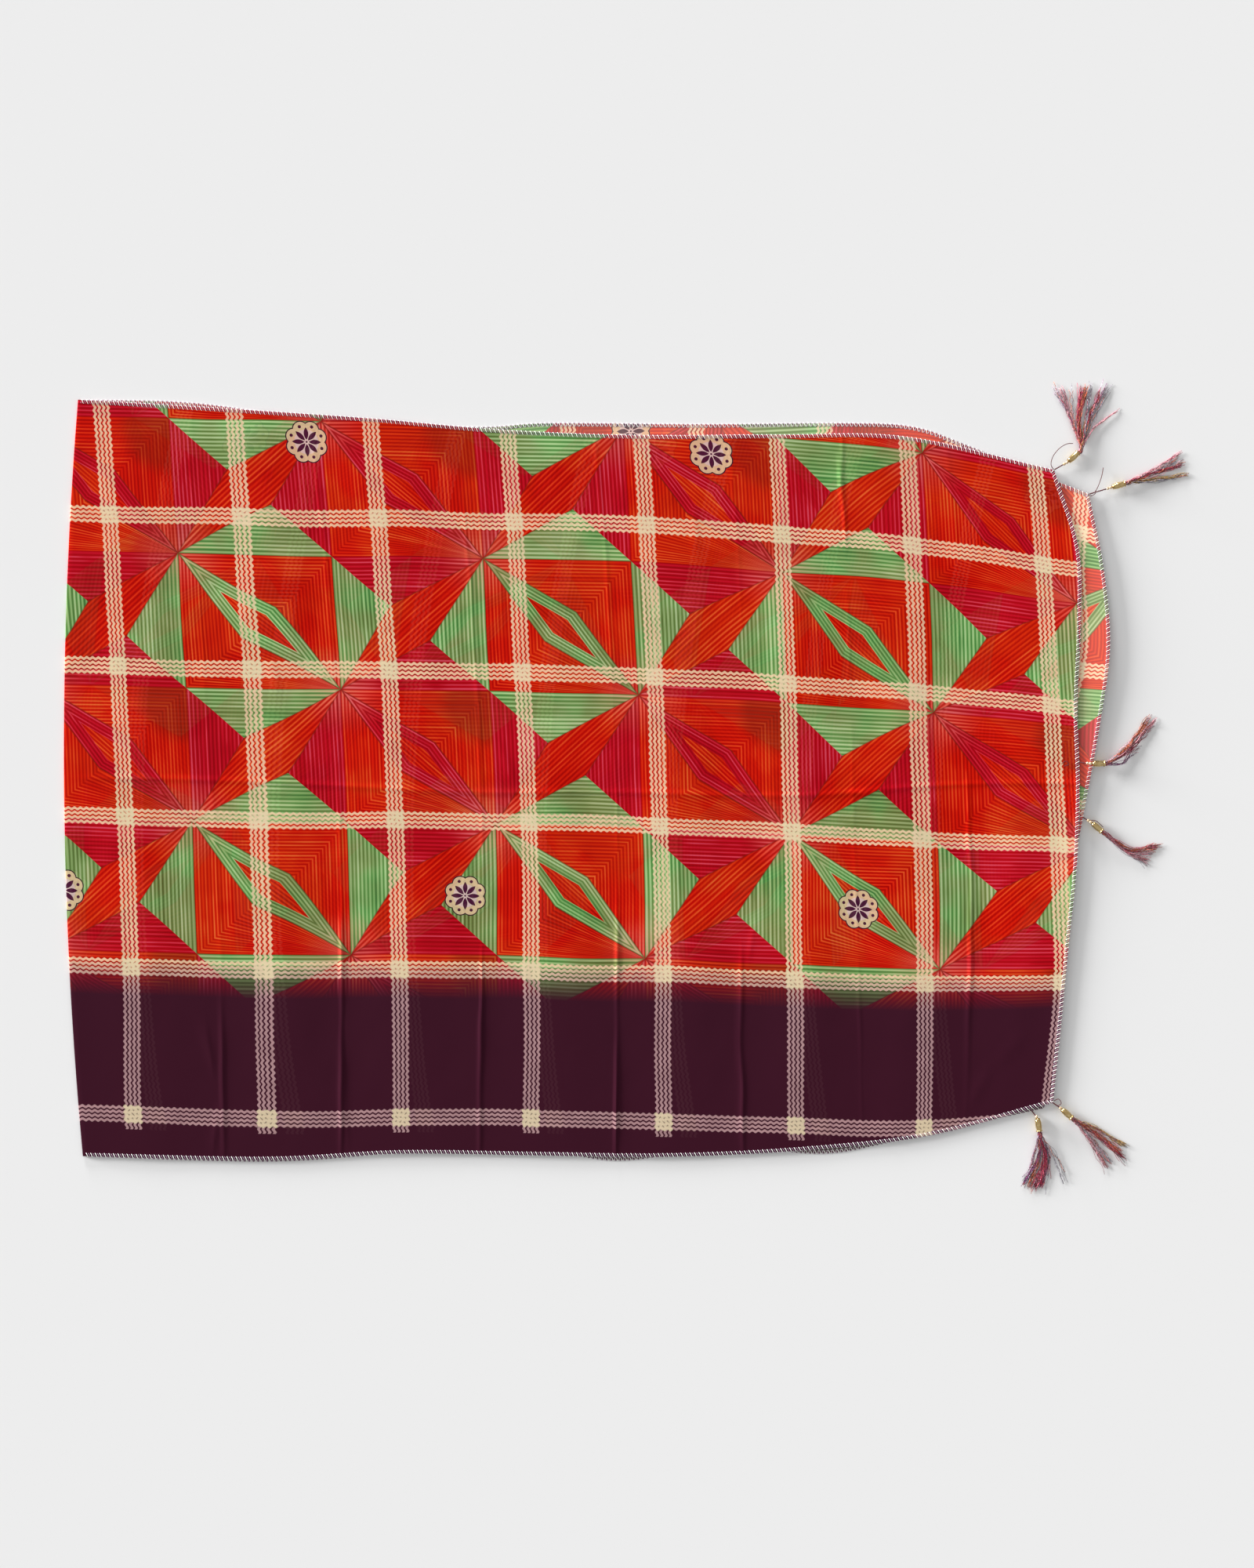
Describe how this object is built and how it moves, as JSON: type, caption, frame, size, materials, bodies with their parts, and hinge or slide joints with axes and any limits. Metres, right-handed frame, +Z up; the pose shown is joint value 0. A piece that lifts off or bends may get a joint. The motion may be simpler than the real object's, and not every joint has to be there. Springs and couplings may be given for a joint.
{
  "type": "wrap scarf",
  "caption": "Thin printed wrap scarf folded in half across its length and laid flat, with beaded thread tassels at its short ends.",
  "frame": {"origin": "middle of the part's box, on the surface that the scarf lies on", "axes": "+Z up out of the surface, +X from the fold to the short ends, +Y from the plum-bordered long edge to the other one"},
  "size_m": [1.041, 0.7466, 0.0119],
  "materials": {
    "printed_cloth": "thin woven cloth, soft sheen, printed",
    "beads": "small glass beads on thread",
    "gold_metal": "turned, polished, gold coloured",
    "tassel_thread": "metallic thread in mixed colours"
  },
  "bodies": {
    "root": {"scarf_cloth": "printed_cloth", "tassel_upper_top_beads": "beads", "tassel_upper_top_cap": "gold_metal", "tassel_upper_top_threads": "tassel_thread", "tassel_lower_top_beads": "beads", "tassel_lower_top_cap": "gold_metal", "tassel_lower_top_threads": "tassel_thread", "tassel_upper_middle_beads": "beads", "tassel_upper_middle_cap": "gold_metal", "tassel_upper_middle_threads": "tassel_thread", "tassel_lower_middle_beads": "beads", "tassel_lower_middle_cap": "gold_metal", "tassel_lower_middle_threads": "tassel_thread", "tassel_upper_bottom_beads": "beads", "tassel_upper_bottom_cap": "gold_metal", "tassel_upper_bottom_threads": "tassel_thread", "tassel_lower_bottom_beads": "beads", "tassel_lower_bottom_cap": "gold_metal", "tassel_lower_bottom_threads": "tassel_thread"}
  },
  "joints": []
}
